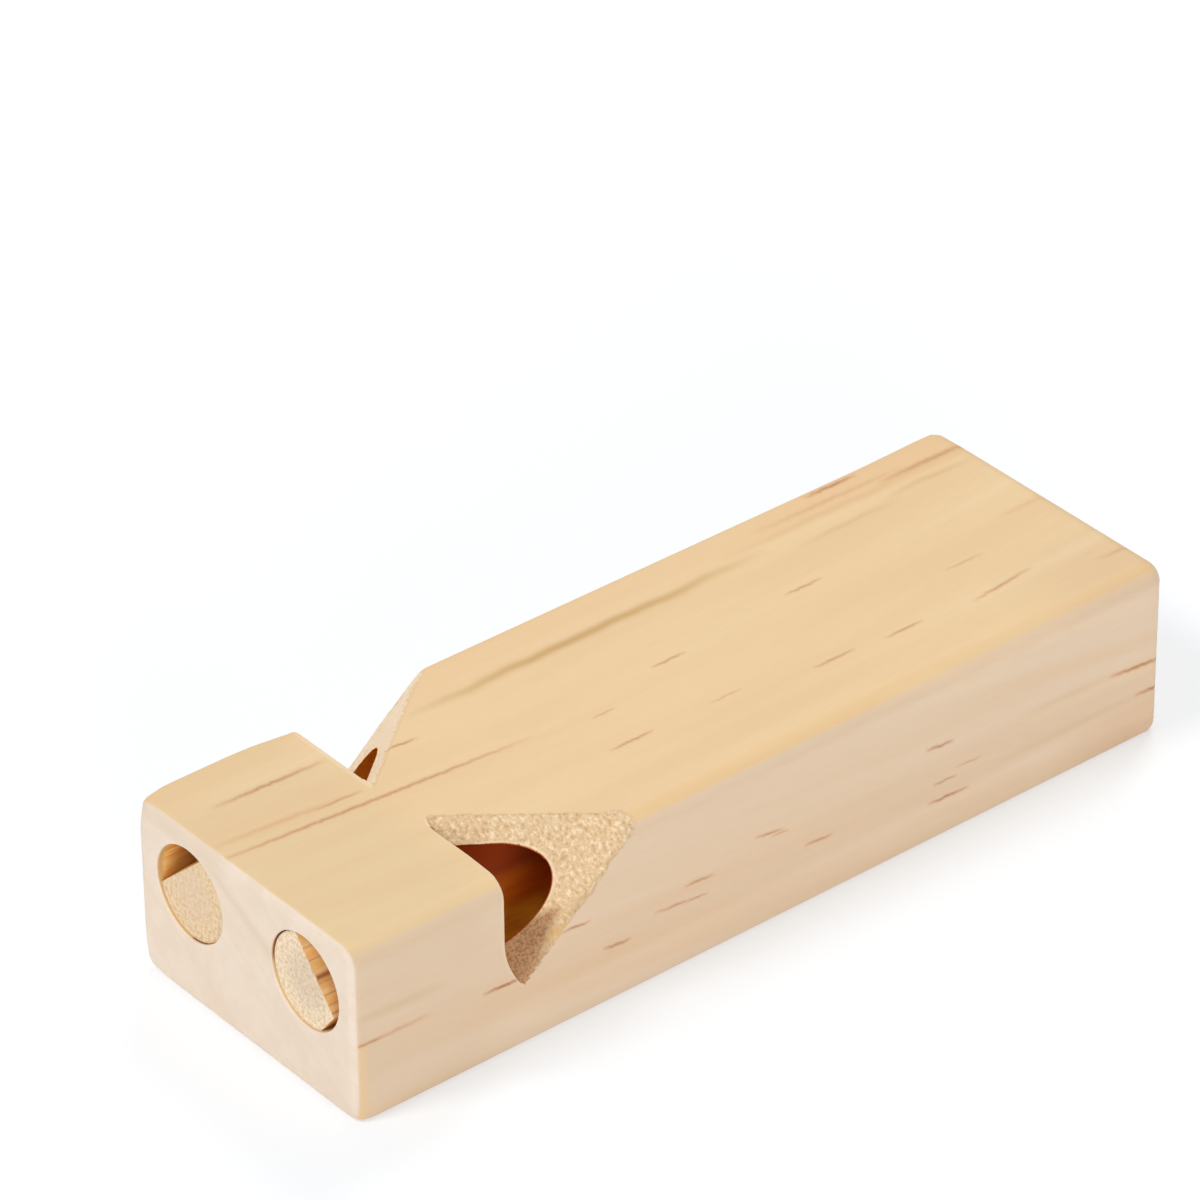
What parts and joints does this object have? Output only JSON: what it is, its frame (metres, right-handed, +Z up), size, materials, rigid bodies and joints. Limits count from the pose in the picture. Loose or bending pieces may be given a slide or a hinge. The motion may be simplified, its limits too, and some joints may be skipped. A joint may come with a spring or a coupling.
{
  "type": "wooden whistle",
  "caption": "Two-note whistle: a planed wooden block with two blind bores, a notched window on each long top edge and a dowel plug in each mouth.",
  "frame": {"origin": "middle of the underside of the block", "axes": "+X along the length, away from the mouth end; +Z up out of the face that the windows break; -Y is the player's right"},
  "size_m": [0.098, 0.032, 0.019],
  "materials": {
    "planed_pine": "sanded, unfinished",
    "dowel_wood": "sawn end grain, sanded flat"
  },
  "bodies": {
    "root": {"whistle_body": "planed_pine", "left_fipple_plug": "dowel_wood", "right_fipple_plug": "dowel_wood"}
  },
  "joints": []
}
